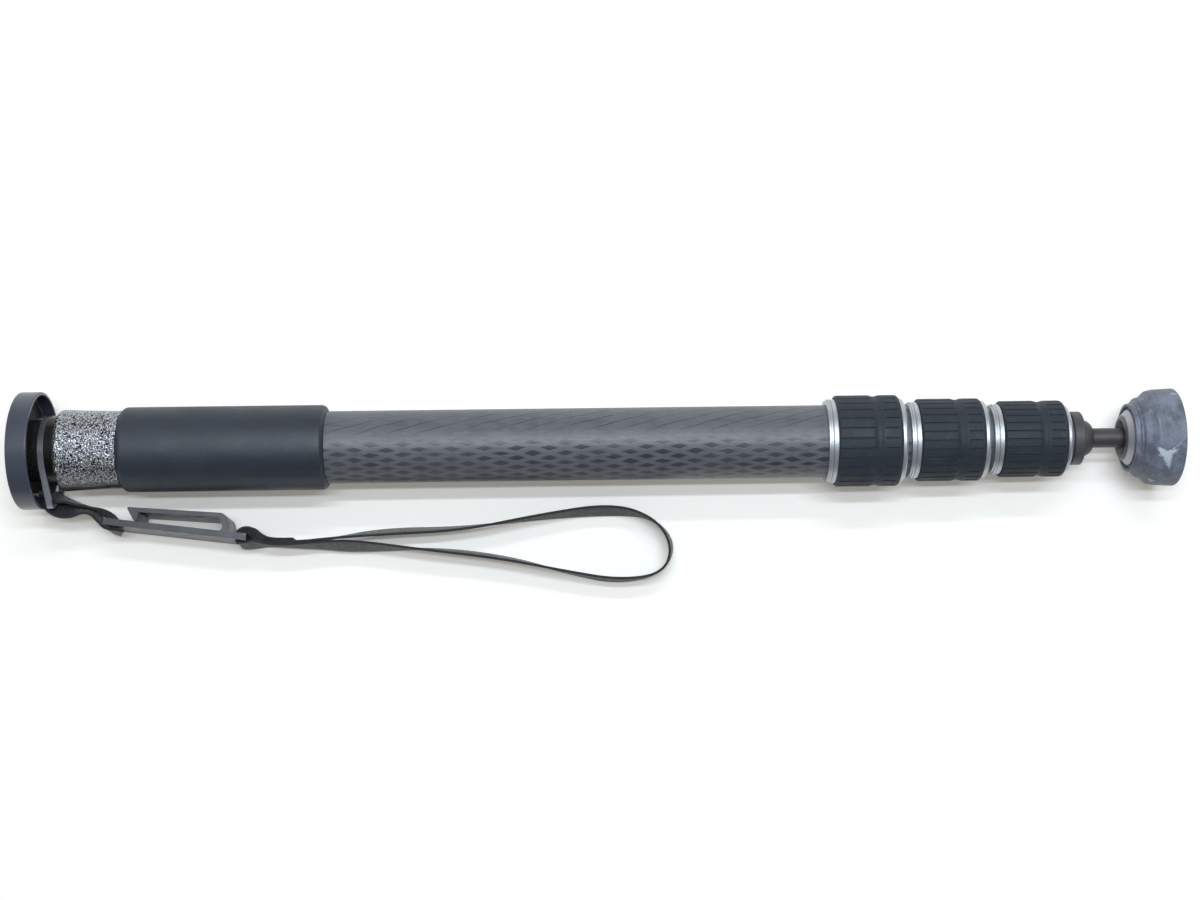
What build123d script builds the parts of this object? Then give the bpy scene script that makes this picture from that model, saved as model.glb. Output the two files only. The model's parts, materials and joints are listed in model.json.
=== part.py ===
from build123d import *
from math import atan2, cos, degrees, radians, sin, tan
import os

# Camera monopod of four telescoping tubes, closed, lying on a flat floor with its wrist strap beside it.
# All sizes are in millimetres. The pole is built along +X, with the middle of the camera seat at the
# origin, and is then tipped about Y by a fraction of a degree, because the camera plate is wider than the
# foot and both rest on the floor. The strap lies on the floor on the -Y side.

# Camera plate, an open cup that faces the foot
plate_radius = 30.0
plate_depth = 10.5
plate_rim_wall = 1.6
plate_web = 3.7
plate_edge_round = 0.7
pad_inner_radius = 9.0
pad_border = 2.8
pad_thickness = 1.5
pad_proud = 0.3
pad_outer_radius = plate_radius - pad_border

# Screws that keep a head from turning on the plate, with a socket in the end that faces the foot
plate_screw_count = 3
plate_screw_angle = -46.0
plate_screw_inset = 3.8
small_screw_radius = 2.0
plate_screw_length = 6.4
plate_screw_sunk = 0.6
plate_screw_radius = pad_outer_radius - plate_screw_inset
small_socket_radius = 1.15
small_socket_depth = 1.6

# Camera screw, wound down until its end is just under the pad
screw_radius = 4.7625
screw_length = 24.0
screw_sunk = 0.6
screw_slot_width = 1.3
screw_slot_depth = 1.6

# Hub between the plate and the top casting
hub_radius = 15.8
hub_length = 12.0
spigot_radius = 8.0
hub_screw_sunk = 0.4

# Top casting, which holds the upper tube
neck_radius = 17.8
neck_length = 4.2
casting_length = 31.7
casting_head_radius = 21.0
casting_waist_radius = 20.0
casting_head_round = 2.6
casting_wall_to_tube = 9.8

# Hand grip
grip_length = 104.0
grip_radius = 21.7
grip_end_round = 3.0

# Tubes, from the widest to the narrowest
tube_radii = (18.5, 16.2, 14.0, 12.0)
tube_wall = 1.5
upper_tube_length = 400.0
first_tube_inset = 6.0
tube_inset = 2.0

# Twist locks, from the uppermost to the lowest
lock_length = 39.4
lock_gap = 2.6
tube_in_lock = 20.4
flange_radii = (21.4, 19.5, 17.9)
flange_length = 4.4
flange_step = 0.6
flange_step_length = 1.0
collar_wall = 1.5
collar_lip = 0.6
collar_lip_clearance = 0.4
sleeve_wall = 1.3
sleeve_gap = 0.4
end_ring_radii = (21.6, 19.9, 17.0)
end_ring_length = 2.4
end_ring_taper = 0.9
end_ring_clearance = 0.3
lock_grip_radii = (23.3, 21.1, 19.5)
lock_grip_round = 1.2
lock_grip_end_round = 1.7
lock_grip_waist = 0.9
lock_grip_waist_share = 0.62
lock_grip_shoulder_share = 0.08
lock_grip_waist_round = 4.2
groove_counts = (28, 29, 29)
groove_turns = (2.8, -1.4, -0.7)
groove_radius = 0.55
groove_depth = 0.75
groove_inset = 0.8
groove_end_inset = 2.2
groove_long_share = 0.57
groove_short_share = 0.28
wedge_length = 12.6
wedge_gap = 0.4
wedge_thick_end = 2.6
wedge_thin_end = 1.4
wedge_slit = 1.2
seal_length = 2.2
seal_clearance = 0.12
glide_length = 24.0
glide_gap = 2.0

# Tip of the lowest tube and its ball-jointed foot
tip_gap = 1.8
tip_flange_radius = 13.7
tip_flange_length = 5.5
tip_flange_round = 0.8
tip_dome_length = 6.2
tip_dome_radius = 9.3
tip_dome_end_radius = 5.2
tip_dome_crown = 1.3
tip_plug_depth = 20.0
stem_radius = 5.0
stem_root_radius = 3.0
stem_root_length = 16.0
stem_length = 22.5
ball_radius = 8.0
ring_front_to_ball = 7.8
ring_length = 4.8
ring_radius = 14.1
ring_mouth_radius = 9.0
ring_nose_radius = 10.4
ring_lip_radius = 7.0
ring_lip_length = 0.8
cup_length = 13.0
cup_radius = 13.0
rubber_over_ring = 1.4
rubber_recess_radius = 15.9
rubber_lip_radius = 17.3
rubber_step_lengths = (2.2, 0.5, 0.7, 0.9, 2.6, 2.9, 3.0, 8.7)
rubber_step_radii = (17.6, 18.5, 18.7, 20.2, 21.0, 23.8, 24.5, 25.0)
rubber_sole = 9.0
rubber_edge_round = 1.0
tread_radii = (10.0, 15.0, 20.0)
tread_width = 1.6
tread_depth = 1.0

# Strap ring, a D of flat metal round the hub
strap_ring_width = 3.0
strap_ring_thickness = 1.2
strap_ring_play = 0.5
strap_ring_back_gap = 0.3
strap_bar_inset = 2.5
strap_bar_length = 21.8
strap_bar_corner = 2.2
strap_bar_angle = 20.0
strap_bar_distance = plate_radius - strap_bar_inset

# Belt clip, a moulded hook with a slot at each end
clip_corner_x = 39.5
clip_corner_y = -37.9
clip_yaw = -7.0
clip_lean = 10.5
clip_depth = 25.0
clip_length = 73.6
clip_base = 3.4
clip_end_bar = 2.6
clip_bar_thickness = 2.6
clip_end_slot = 4.0
clip_slot_length = 17.6
clip_nose = 11.3
clip_nose_height = 10.3
clip_nose_lip = 1.0
clip_nose_tip = 15.2
clip_nose_tip_width = 1.4
clip_nose_gap = 0.5
clip_arm = 2.4
clip_window_start = 17.2
clip_heel_inset = 12.0
clip_heel_height = 12.7
clip_foot_inset = 8.4
clip_wall = 3.2
clip_heel_round = 4.0
clip_foot_round = 2.6
clip_window_round = 1.8
clip_edge_round = 0.5
clip_heel = clip_length - clip_heel_inset
clip_heel_foot = clip_length - clip_foot_inset

# Webbing of the wrist loop and of the tab between ring and clip
web_width = 16.0
web_thickness = 1.3
web_play = 0.25
tab_tail_length = 10.0
tab_tail_slant = 3.0
tab_section_shares = (0.0, 0.35, 0.7, 1.0)
loop_reach = 219.7
loop_floor_gap = 0.15

# Clearances
running_fit = 0.05
glide_fit = 0.08
sleeve_fit = 0.06
ball_fit = 0.15
face_gap = 0.1
overrun = 2.0

# Route of the loop's webbing at half its height, from the sewn-in tail round the clip's bar, whose middle
# is route_eye, out along the lower strand, round the end of the loop and back into the seam
route_eye = (110.31, -47.42)
loop_route = [
    (133.0, -49.2),
    (119.6, -49.2),
    (113.6, -45.4),
    (106.8, -44.9),
    (106.5, -52.4),
    (113.4, -52.6),
    (119.9, -50.8),
    (134.8, -50.7),
    (165.0, -51.2),
    (205.0, -53.6),
    (243.0, -58.4),
    (277.0, -66.9),
    (303.0, -72.0),
    (326.0, -68.0),
    (332.0, -53.0),
    (321.5, -38.6),
    (299.5, -33.8),
    (262.0, -37.4),
    (222.0, -43.4),
    (180.0, -43.8),
    (147.5, -47.3),
    (121.4, -47.75),
]

# Places along the pole
plate_front = pad_proud
web_back = plate_front + plate_web
rim_back = plate_front + plate_depth
hub_back = web_back + hub_length
neck_back = hub_back + neck_length
casting_back = neck_back + casting_length
upper_tube_start = neck_back + casting_wall_to_tube
upper_tube_end = upper_tube_start + upper_tube_length
grip_end = casting_back + grip_length
lock_starts = [upper_tube_end - tube_in_lock + n * (lock_length + lock_gap) for n in range(3)]
tube_starts = [upper_tube_start] + [
    upper_tube_start + first_tube_inset + n * tube_inset for n in range(3)
]
tip_start = lock_starts[2] + lock_length + tip_gap
tube_ends = [start + tube_in_lock for start in lock_starts] + [tip_start]
tip_end = tip_start + tip_flange_length + tip_dome_length
ball_x = tip_end + stem_length
ring_front = ball_x - ring_front_to_ball
ring_back = ring_front + ring_length
cup_back = ring_back + cup_length
foot_end = cup_back + rubber_sole
bore_radius = screw_radius + running_fit

# The pole rests on the back edge of the plate and on the edge of the sole
plate_contact = rim_back - plate_edge_round
foot_contact = foot_end - rubber_edge_round
rest_slope = degrees(atan2(plate_radius - rubber_step_radii[-1], foot_contact - plate_contact))
resting = Location((0, 0, 0), (0, rest_slope, 0))
floor_z = -plate_radius * cos(radians(rest_slope)) - plate_contact * sin(radians(rest_slope))


def half_section(outline, rounds=()):
    """A closed outline of (along, radius) corners; rounds holds (corner, fillet radius) pairs."""
    with BuildSketch() as section:
        with BuildLine():
            Polyline(*outline, close=True)
        make_face()
        for corner, radius in rounds:
            fillet(section.vertices().sort_by_distance(corner)[0], radius=radius)
    return section.sketch


def pipe(start, end, inner, outer):
    """A plain tube about the pole's axis."""
    with BuildPart() as tube:
        revolve(half_section([(start, inner), (start, outer), (end, outer), (end, inner)]), axis=Axis.X)
    return tube.part


def circle_plane(x):
    """The plane across the pole at x, with its own x along +Y and its own y along +Z."""
    return Plane.YZ.offset(x)


# Camera plate with its pad
plate_outline = [
    (plate_front, bore_radius),
    (plate_front, pad_inner_radius),
    (pad_thickness, pad_inner_radius),
    (pad_thickness, pad_outer_radius),
    (plate_front, pad_outer_radius),
    (plate_front, plate_radius),
    (rim_back, plate_radius),
    (rim_back, plate_radius - plate_rim_wall),
    (web_back, plate_radius - plate_rim_wall),
    (web_back, bore_radius),
]
plate_rounds = [
    ((plate_front, plate_radius), plate_edge_round),
    ((rim_back, plate_radius), plate_edge_round),
    ((web_back, plate_radius - plate_rim_wall), plate_edge_round),
]
with BuildPart() as camera_plate:
    revolve(half_section(plate_outline, plate_rounds), axis=Axis.X)
    with BuildSketch(circle_plane(0)):
        with PolarLocations(plate_screw_radius, plate_screw_count, plate_screw_angle):
            Circle(small_screw_radius + running_fit)
    extrude(amount=web_back + overrun, mode=Mode.SUBTRACT)

with BuildPart() as plate_pad:
    with BuildSketch(circle_plane(0)):
        Circle(pad_outer_radius)
        Circle(pad_inner_radius, mode=Mode.SUBTRACT)
        with PolarLocations(plate_screw_radius, plate_screw_count, plate_screw_angle):
            Circle(small_screw_radius + running_fit, mode=Mode.SUBTRACT)
    extrude(amount=pad_thickness)

with BuildPart() as plate_grub_screws:
    with BuildSketch(circle_plane(plate_screw_sunk)):
        with PolarLocations(plate_screw_radius, plate_screw_count, plate_screw_angle):
            Circle(small_screw_radius)
    extrude(amount=plate_screw_length)
    with BuildSketch(circle_plane(plate_screw_sunk + plate_screw_length)):
        with PolarLocations(plate_screw_radius, plate_screw_count, plate_screw_angle):
            RegularPolygon(small_socket_radius, side_count=6)
    extrude(amount=-small_socket_depth, mode=Mode.SUBTRACT)

with BuildPart() as camera_screw:
    with BuildSketch(circle_plane(screw_sunk)):
        Circle(screw_radius)
    extrude(amount=screw_length)
    with BuildSketch(circle_plane(screw_sunk)):
        Rectangle(screw_radius * 2 + overrun, screw_slot_width)
    extrude(amount=screw_slot_depth, mode=Mode.SUBTRACT)

# Hub and top casting
hub_middle = web_back + hub_length / 2
with BuildPart() as plate_hub:
    revolve(
        half_section([
            (web_back, spigot_radius + running_fit),
            (web_back, hub_radius),
            (hub_back, hub_radius),
            (hub_back, spigot_radius + running_fit),
        ]),
        axis=Axis.X,
    )
    with BuildSketch(Plane.XY):
        with Locations((hub_middle, 0)):
            Circle(small_screw_radius + running_fit)
    extrude(amount=-hub_radius - overrun, mode=Mode.SUBTRACT)

with BuildPart() as hub_grub_screw:
    with BuildSketch(Plane.XY.offset(-spigot_radius - running_fit)):
        with Locations((hub_middle, 0)):
            Circle(small_screw_radius)
    extrude(amount=-(hub_radius - hub_screw_sunk - spigot_radius))
    with BuildSketch(Plane.XY.offset(-hub_radius + hub_screw_sunk)):
        with Locations((hub_middle, 0)):
            RegularPolygon(small_socket_radius, side_count=6)
    extrude(amount=small_socket_depth, mode=Mode.SUBTRACT)

casting_waist_x = neck_back + casting_length / 2
with BuildPart() as top_casting:
    with BuildSketch() as casting_section:
        with BuildLine():
            Polyline(
                (casting_back, tube_radii[0]),
                (upper_tube_start, tube_radii[0]),
                (upper_tube_start, bore_radius),
                (web_back, bore_radius),
                (web_back, spigot_radius),
                (hub_back, spigot_radius),
                (hub_back, neck_radius),
                (neck_back, neck_radius),
                (neck_back, casting_head_radius),
            )
            ThreePointArc(
                (neck_back, casting_head_radius),
                (casting_waist_x, casting_waist_radius + (casting_head_radius - casting_waist_radius) / 4),
                (casting_back, casting_waist_radius),
            )
            Line((casting_back, casting_waist_radius), (casting_back, tube_radii[0]))
        make_face()
        fillet(
            casting_section.vertices().sort_by_distance((neck_back, casting_head_radius))[0],
            radius=casting_head_round,
        )
    revolve(axis=Axis.X)

with BuildPart() as hand_grip:
    revolve(
        half_section(
            [
                (casting_back, tube_radii[0]),
                (casting_back, grip_radius),
                (grip_end, grip_radius),
                (grip_end, tube_radii[0]),
            ],
            [
                ((casting_back, grip_radius), grip_end_round),
                ((grip_end, grip_radius), grip_end_round),
            ],
        ),
        axis=Axis.X,
    )


# Twist locks
def lock_collar(n):
    """Fixed collar glued on the end of tube n, with the flange that shows and the neck under the sleeve."""
    start = lock_starts[n]
    tube = tube_radii[n]
    neck = tube + collar_wall
    tube_end = start + tube_in_lock
    lip = tube_radii[n + 1] + collar_lip_clearance
    with BuildPart() as collar:
        revolve(
            half_section([
                (start, tube),
                (start, flange_radii[n] - flange_step),
                (start + flange_step_length, flange_radii[n] - flange_step),
                (start + flange_step_length, flange_radii[n]),
                (start + flange_length, flange_radii[n]),
                (start + flange_length, neck),
                (tube_end + collar_lip, neck),
                (tube_end + collar_lip, lip),
                (tube_end, lip),
                (tube_end, tube),
            ]),
            axis=Axis.X,
        )
    return collar.part


def lock_wedge(n):
    """Split cone that the sleeve squeezes onto the inner tube."""
    start = lock_starts[n] + tube_in_lock + collar_lip + wedge_gap
    inner = tube_radii[n + 1] + running_fit
    with BuildPart() as wedge:
        revolve(
            half_section([
                (start, inner),
                (start, inner + wedge_thick_end),
                (start + wedge_length, inner + wedge_thin_end),
                (start + wedge_length, inner),
            ]),
            axis=Axis.X,
        )
        with BuildSketch(circle_plane(start - overrun)):
            with Locations((0, inner)):
                Rectangle(wedge_slit, inner)
        extrude(amount=wedge_length + 2 * overrun, mode=Mode.SUBTRACT)
    return wedge.part


def sleeve_radius(n):
    """Outer radius of the sleeve under its rubber."""
    return tube_radii[n] + collar_wall + sleeve_fit + sleeve_wall


def lock_sleeve(n):
    """Turning sleeve, whose bare end ring shows past the rubber."""
    start = lock_starts[n] + flange_length + sleeve_gap
    end = lock_starts[n] + lock_length
    ring = end - end_ring_length
    bore = tube_radii[n] + collar_wall + sleeve_fit
    way_out = tube_radii[n + 1] + end_ring_clearance
    with BuildPart() as sleeve:
        revolve(
            half_section([
                (start, bore),
                (start, sleeve_radius(n)),
                (ring, sleeve_radius(n)),
                (ring, end_ring_radii[n]),
                (end - end_ring_taper, end_ring_radii[n]),
                (end, end_ring_radii[n] - end_ring_taper),
                (end, way_out),
                (ring, way_out),
                (ring, bore),
            ]),
            axis=Axis.X,
        )
    return sleeve.part


def lock_grip(n):
    """Rubber sleeve with a waist and lengthwise grooves."""
    start = lock_starts[n] + flange_length + sleeve_gap
    end = lock_starts[n] + lock_length - end_ring_length
    length = end - start
    outer = lock_grip_radii[n]
    waist = start + lock_grip_waist_share * length
    shoulder = lock_grip_shoulder_share * length
    rounds = [
        ((start, outer), lock_grip_round),
        ((waist - shoulder, outer), lock_grip_waist_round),
        ((waist, outer - lock_grip_waist), lock_grip_waist_round),
        ((waist + shoulder, outer), lock_grip_waist_round),
        ((end, outer), lock_grip_end_round),
    ]
    with BuildPart() as rubber:
        revolve(
            half_section(
                [
                    (start, sleeve_radius(n)),
                    (start, outer),
                    (waist - shoulder, outer),
                    (waist, outer - lock_grip_waist),
                    (waist + shoulder, outer),
                    (end, outer),
                    (end, sleeve_radius(n)),
                ],
                rounds,
            ),
            axis=Axis.X,
        )
        groove_axis = outer - groove_depth + groove_radius
        first_groove = 90 - groove_turns[n]
        with BuildSketch(circle_plane(start + groove_inset)):
            with PolarLocations(groove_axis, groove_counts[n], first_groove):
                Circle(groove_radius)
        extrude(amount=groove_long_share * length - groove_inset, mode=Mode.SUBTRACT)
        with BuildSketch(circle_plane(end - groove_end_inset)):
            with PolarLocations(groove_axis, groove_counts[n], first_groove):
                Circle(groove_radius)
        extrude(amount=-(groove_short_share * length - groove_end_inset), mode=Mode.SUBTRACT)
    return rubber.part


def lock_seal(n):
    """Wiper ring that keeps grit out of the lock."""
    end = lock_starts[n] + lock_length - end_ring_length
    bore = tube_radii[n] + collar_wall + sleeve_fit
    return pipe(end - seal_length, end, tube_radii[n + 1] + seal_clearance, bore)


def glide(n):
    """Two half shells glued on the top of tube n + 1, which run inside tube n."""
    start = tube_starts[n + 1]
    inner = tube_radii[n + 1]
    outer = tube_radii[n] - tube_wall - glide_fit
    with BuildPart() as shells:
        add(pipe(start, start + glide_length, inner, outer))
        with BuildSketch(circle_plane(start - overrun)):
            Rectangle(2 * outer + overrun, glide_gap)
        extrude(amount=glide_length + 2 * overrun, mode=Mode.SUBTRACT)
    return shells.part


# Tip plug, ball stem and foot
tip_dome_start = tip_start + tip_flange_length
with BuildPart() as tip_plug:
    with BuildSketch() as plug_section:
        with BuildLine():
            Polyline(
                (tip_end, tip_dome_end_radius),
                (tip_end, stem_root_radius + running_fit),
                (tip_start - tip_plug_depth, stem_root_radius + running_fit),
                (tip_start - tip_plug_depth, tube_radii[3] - tube_wall),
                (tip_start, tube_radii[3] - tube_wall),
                (tip_start, tip_flange_radius),
                (tip_dome_start, tip_flange_radius),
                (tip_dome_start, tip_dome_radius),
            )
            ThreePointArc(
                (tip_dome_start, tip_dome_radius),
                (
                    (tip_dome_start + tip_end) / 2 + tip_dome_crown / 2,
                    (tip_dome_radius + tip_dome_end_radius) / 2 + tip_dome_crown,
                ),
                (tip_end, tip_dome_end_radius),
            )
        make_face()
        for edge_x in (tip_start, tip_dome_start):
            corner = plug_section.vertices().sort_by_distance((edge_x, tip_flange_radius))[0]
            fillet(corner, radius=tip_flange_round)
    revolve(axis=Axis.X)

with BuildPart() as foot_stem:
    revolve(
        half_section([
            (tip_end - stem_root_length, 0),
            (tip_end - stem_root_length, stem_root_radius),
            (tip_end + face_gap, stem_root_radius),
            (tip_end + face_gap, stem_radius),
            (ball_x, stem_radius),
            (ball_x, 0),
        ]),
        axis=Axis.X,
    )
    with Locations((ball_x, 0, 0)):
        Sphere(ball_radius)

with BuildPart() as ball_ring:
    revolve(
        half_section([
            (ring_front, ring_mouth_radius),
            (ring_front, ring_nose_radius),
            (ring_back - rubber_over_ring, ring_radius),
            (ring_back, ring_radius),
            (ring_back, ring_lip_radius),
            (ring_back - ring_lip_length, ring_lip_radius),
        ]),
        axis=Axis.X,
    )
    with Locations((ball_x, 0, 0)):
        Sphere(ball_radius + ball_fit, mode=Mode.SUBTRACT)

with BuildPart() as ball_cup:
    revolve(
        half_section([
            (ring_back, 0),
            (ring_back, cup_radius),
            (cup_back, cup_radius),
            (cup_back, 0),
        ]),
        axis=Axis.X,
    )
    with Locations((ball_x, 0, 0)):
        Sphere(ball_radius + ball_fit, mode=Mode.SUBTRACT)

rubber_outline = [(cup_back, 0), (cup_back, cup_radius), (ring_back, cup_radius)]
rubber_outline.append((ring_back, rubber_recess_radius))
rubber_x = ring_back - rubber_over_ring
rubber_outline += [(rubber_x, rubber_recess_radius), (rubber_x, rubber_lip_radius)]
for step, radius in zip(rubber_step_lengths, rubber_step_radii):
    rubber_x += step
    rubber_outline.append((rubber_x, radius))
rubber_outline[-1] = (foot_end, rubber_step_radii[-1])
rubber_outline.append((foot_end, 0))
with BuildPart() as rubber_foot:
    revolve(
        half_section(rubber_outline, [((foot_end, rubber_step_radii[-1]), rubber_edge_round)]),
        axis=Axis.X,
    )
    with BuildSketch(circle_plane(foot_end)):
        for radius in tread_radii:
            Circle(radius + tread_width / 2)
            Circle(radius - tread_width / 2, mode=Mode.SUBTRACT)
    extrude(amount=-tread_depth, mode=Mode.SUBTRACT)

# Strap ring: the bar lies off the hub in the direction bar_angle below -Y
bar_turn = radians(180 + strap_bar_angle)
ring_plane = Plane(
    origin=(hub_back - strap_ring_back_gap - strap_ring_width, 0, 0),
    x_dir=(0, cos(bar_turn), sin(bar_turn)),
    z_dir=(1, 0, 0),
)


def d_outline(grow):
    """The ring's inner outline, grown outwards: the hub's circle and the two ends of the bar, hulled."""
    corner_x = strap_bar_distance - strap_ring_thickness / 2 - strap_bar_corner
    corner_y = strap_bar_length / 2 - strap_bar_corner
    with BuildSketch(ring_plane) as outline:
        Circle(hub_radius + strap_ring_play + grow)
        with Locations((corner_x, corner_y), (corner_x, -corner_y)):
            Circle(strap_bar_corner + grow)
        make_hull(mode=Mode.REPLACE)
    return outline.sketch


with BuildPart() as strap_ring:
    extrude(d_outline(strap_ring_thickness), amount=strap_ring_width)
    extrude(d_outline(0), amount=strap_ring_width, mode=Mode.SUBTRACT)

# Clip frame: x along the base, y across it towards the pole, and clip_up along its depth. Its corner at
# the top of the base's outer face is where clip_corner_x and clip_corner_y say, and its lowest edge,
# under the heel, is on the floor.
lean = radians(clip_lean)
yaw = radians(clip_yaw)
clip_along = Vector(cos(yaw), sin(yaw), 0)
clip_up = Vector(-sin(yaw) * sin(lean), cos(yaw) * sin(lean), cos(lean))
clip_foot_z = floor_z + clip_heel_height * sin(lean)
clip_origin = Vector(clip_corner_x, clip_corner_y, clip_foot_z)
clip_origin = clip_origin - Vector(clip_up.X, clip_up.Y, 0) * clip_depth
clip_plane = Plane(origin=clip_origin, x_dir=clip_along, z_dir=clip_up)
clip_slot_side = (clip_depth - clip_slot_length) / 2
bar_side = (clip_base - clip_bar_thickness) / 2

arm_slope = (clip_heel_height - clip_nose_height) / (clip_heel - clip_nose)


def arm_inside(along):
    """Height of the arm's inner face over the base's outer face."""
    return clip_nose_height + (along - clip_nose) * arm_slope - clip_arm


window_end = clip_heel_foot - clip_wall
clip_outline = [
    (0, 0),
    (clip_length, 0),
    (clip_length, clip_base),
    (clip_heel_foot, clip_base),
    (clip_heel, clip_heel_height),
    (clip_nose, clip_nose_height),
    (clip_nose, clip_nose_height - clip_nose_lip),
    (clip_nose_tip, clip_base + clip_nose_gap),
    (clip_nose_tip + clip_nose_tip_width, clip_base + clip_nose_gap),
    (clip_window_start, arm_inside(clip_window_start)),
    (clip_heel - clip_wall, arm_inside(clip_heel - clip_wall)),
    (window_end, clip_base),
    (0, clip_base),
]
clip_rounds = [
    ((clip_heel_foot, clip_base), clip_foot_round),
    ((clip_heel, clip_heel_height), clip_heel_round),
    ((clip_nose, clip_nose_height), clip_edge_round),
    ((clip_window_start, arm_inside(clip_window_start)), clip_edge_round),
    ((clip_heel - clip_wall, arm_inside(clip_heel - clip_wall)), clip_window_round),
    ((window_end, clip_base), clip_window_round),
]
with BuildPart() as strap_clip:
    with BuildSketch(clip_plane):
        add(half_section(clip_outline, clip_rounds))
    extrude(amount=clip_depth)
    with BuildSketch(clip_plane.offset(clip_slot_side)):
        for bar_end in (0, clip_length - clip_end_bar - clip_end_slot):
            slot_start = bar_end + clip_end_bar if bar_end == 0 else bar_end
            with Locations((slot_start, -overrun)):
                Rectangle(clip_end_slot, clip_base + 2 * overrun, align=(Align.MIN, Align.MIN))
        for bar_start in (-overrun, clip_length - clip_end_bar):
            with Locations((bar_start, clip_base - bar_side), (bar_start, -overrun)):
                Rectangle(clip_end_bar + overrun, bar_side + overrun, align=(Align.MIN, Align.MIN))
    extrude(amount=clip_slot_length, mode=Mode.SUBTRACT)


# Webbing
def arc_radii(points, share=0.45):
    """The largest fillet radius for each inner corner of a route, a little under half of its shorter run."""
    radii = []
    for before, here, after in zip(points, points[1:], points[2:]):
        back = Vector(*before) - Vector(*here)
        on = Vector(*after) - Vector(*here)
        half_turn = radians(180 - back.get_angle(on)) / 2
        radii.append(share * min(back.length, on.length) / tan(half_turn))
    return radii


bar_middle = clip_length - clip_end_bar / 2
eye_low_z = (clip_plane * Location((bar_middle, clip_base / 2, (clip_depth - web_width) / 2))).position.Z
eye_middle = (clip_plane * Location((bar_middle, clip_base / 2, clip_depth / 2))).position
loop_points = [(x + eye_middle.X - route_eye[0], y + eye_middle.Y - route_eye[1]) for x, y in loop_route]
loop_drop = atan2(eye_low_z - floor_z - loop_floor_gap, loop_reach)
low_corner = Vector(0, 0, eye_low_z + eye_middle.X * tan(loop_drop))
low_corner = low_corner - Vector(clip_up.X, clip_up.Y, 0) * web_width / 2
loop_plane = Plane(
    origin=low_corner,
    x_dir=(cos(loop_drop), 0, -sin(loop_drop)),
    z_dir=(sin(loop_drop), 0, cos(loop_drop)),
)
loop_radii = arc_radii(loop_points)
print("Loop radii, mm:", [round(radius, 1) for radius in loop_radii])

with BuildPart() as strap_loop:
    with BuildSketch(loop_plane):
        with BuildLine():
            FilletPolyline(*loop_points, radius=loop_radii)
        trace(line_width=web_thickness)
    extrude(amount=web_width, dir=clip_up)

# The tab runs from the ring's bar to the clip's near bar, turning as it goes
ring_bar = (
    resting
    * Location((hub_back - strap_ring_back_gap - strap_ring_width / 2, 0, 0))
    * Location((0, strap_bar_distance * cos(bar_turn), strap_bar_distance * sin(bar_turn)))
).position
ring_bar_along = Vector(0, sin(bar_turn), -cos(bar_turn))
clip_bar = (clip_plane * Location((clip_end_bar / 2, clip_base / 2, clip_depth / 2))).position
tab_along = (clip_bar - ring_bar).normalized()
eye_wall = web_play + web_thickness


def eye(center, along, across, bar_width, bar_height):
    """Webbing once round a bar: a hollow, rounded block along the bar."""
    plane = Plane(origin=center - along * (web_width / 2), x_dir=across, z_dir=along)
    outer_width = bar_width + 2 * eye_wall
    outer_height = bar_height + 2 * eye_wall
    with BuildPart() as wrap:
        with BuildSketch(plane):
            RectangleRounded(outer_width, outer_height, eye_wall)
        extrude(amount=web_width)
    return wrap.part


def bar_hole(center, along, across, bar_width, bar_height):
    """The room that a bar takes in its eye."""
    plane = Plane(origin=center - along * web_width, x_dir=across, z_dir=along)
    with BuildPart() as hole:
        with BuildSketch(plane):
            Rectangle(bar_width + 2 * web_play, bar_height + 2 * web_play)
        extrude(amount=2 * web_width)
    return hole.part


def tab_section(share):
    """The doubled webbing's section at a share of the way from the ring's bar to the clip's bar."""
    middle = ring_bar + (clip_bar - ring_bar) * share
    width = (ring_bar_along * (1 - share) + clip_up * share).normalized()
    width = (width - tab_along * width.dot(tab_along)).normalized()
    with BuildSketch(Plane(origin=middle, x_dir=width, z_dir=tab_along)) as section:
        Rectangle(web_width - 2 * web_play, 2 * web_thickness + web_play)
    return section.sketch


ring_eye = (ring_bar, ring_bar_along, Vector(1, 0, 0), strap_ring_width, strap_ring_thickness)
clip_eye = (clip_bar, clip_up, clip_along, clip_end_bar, clip_bar_thickness)
tail_bottom = (clip_depth - web_width) / 2
with BuildPart() as strap_tab:
    loft([tab_section(share) for share in tab_section_shares], ruled=True)
    add(eye(*ring_eye))
    add(eye(*clip_eye))
    with BuildSketch(Plane(origin=clip_plane.origin, x_dir=clip_along, z_dir=-clip_plane.y_dir)):
        with BuildLine():
            Polyline(
                (0, tail_bottom),
                (clip_end_bar + tab_tail_length, tail_bottom),
                (clip_end_bar + tab_tail_length - tab_tail_slant, tail_bottom + web_width),
                (0, tail_bottom + web_width),
                close=True,
            )
        make_face()
    extrude(amount=web_play + web_thickness)
    add(bar_hole(*ring_eye), mode=Mode.SUBTRACT)
    add(bar_hole(*clip_eye), mode=Mode.SUBTRACT)

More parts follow.
